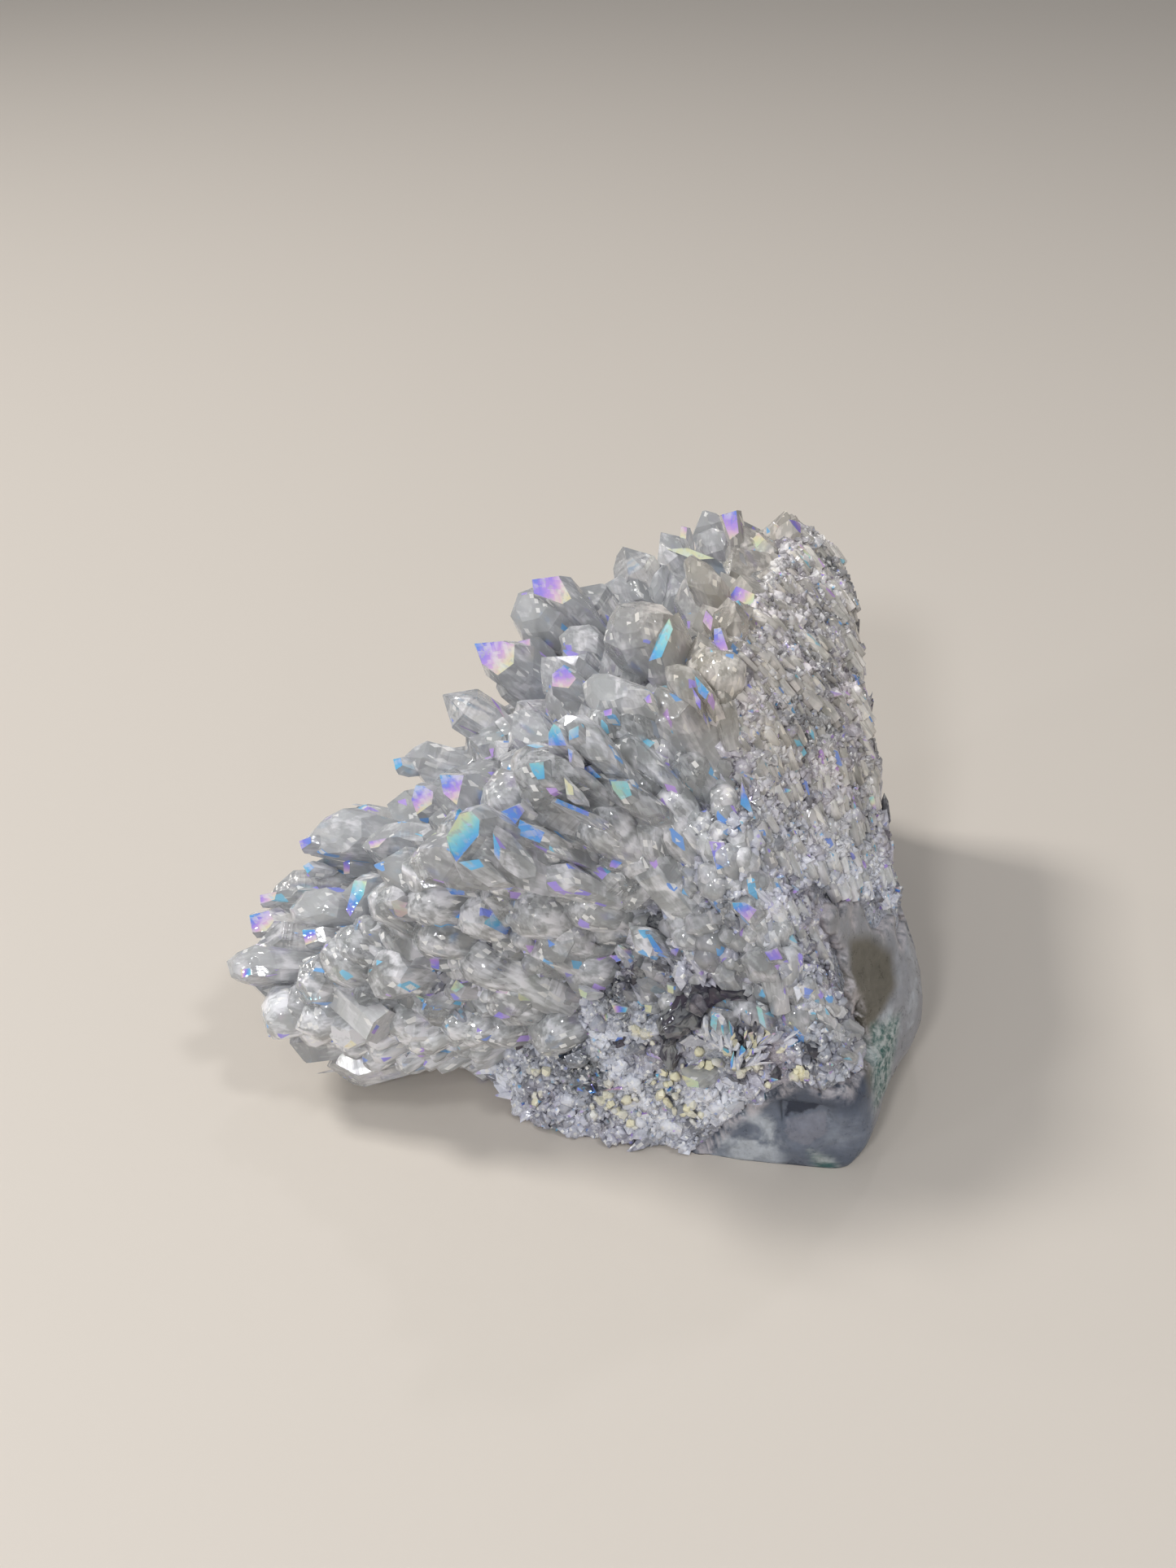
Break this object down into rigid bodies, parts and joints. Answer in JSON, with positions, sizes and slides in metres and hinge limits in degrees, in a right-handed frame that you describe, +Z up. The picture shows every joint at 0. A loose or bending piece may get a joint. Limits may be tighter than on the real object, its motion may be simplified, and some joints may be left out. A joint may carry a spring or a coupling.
{
  "type": "quartz cluster",
  "caption": "Wedge of a quartz geode wall: clear pyramid-tipped crystals with a pearly rainbow film, on sugary broken quartz and a smooth grey agate rind.",
  "frame": {"origin": "middle of the bounding box's footprint, on the surface that the cluster rests on", "axes": "+Z up, +X from the low crystal tip towards the agate rind, -Y towards the broken front face"},
  "size_m": [0.07, 0.0608, 0.0509],
  "materials": {
    "quartz": "clear glassy crystal with a thin pearly blue, violet and gold film",
    "broken_quartz": "sugary broken quartz, grey to white, sparkling",
    "agate_rind": "smooth waxy blue-grey agate with teal-green specks"
  },
  "bodies": {
    "root": {"quartz_cluster": "quartz"}
  },
  "joints": []
}
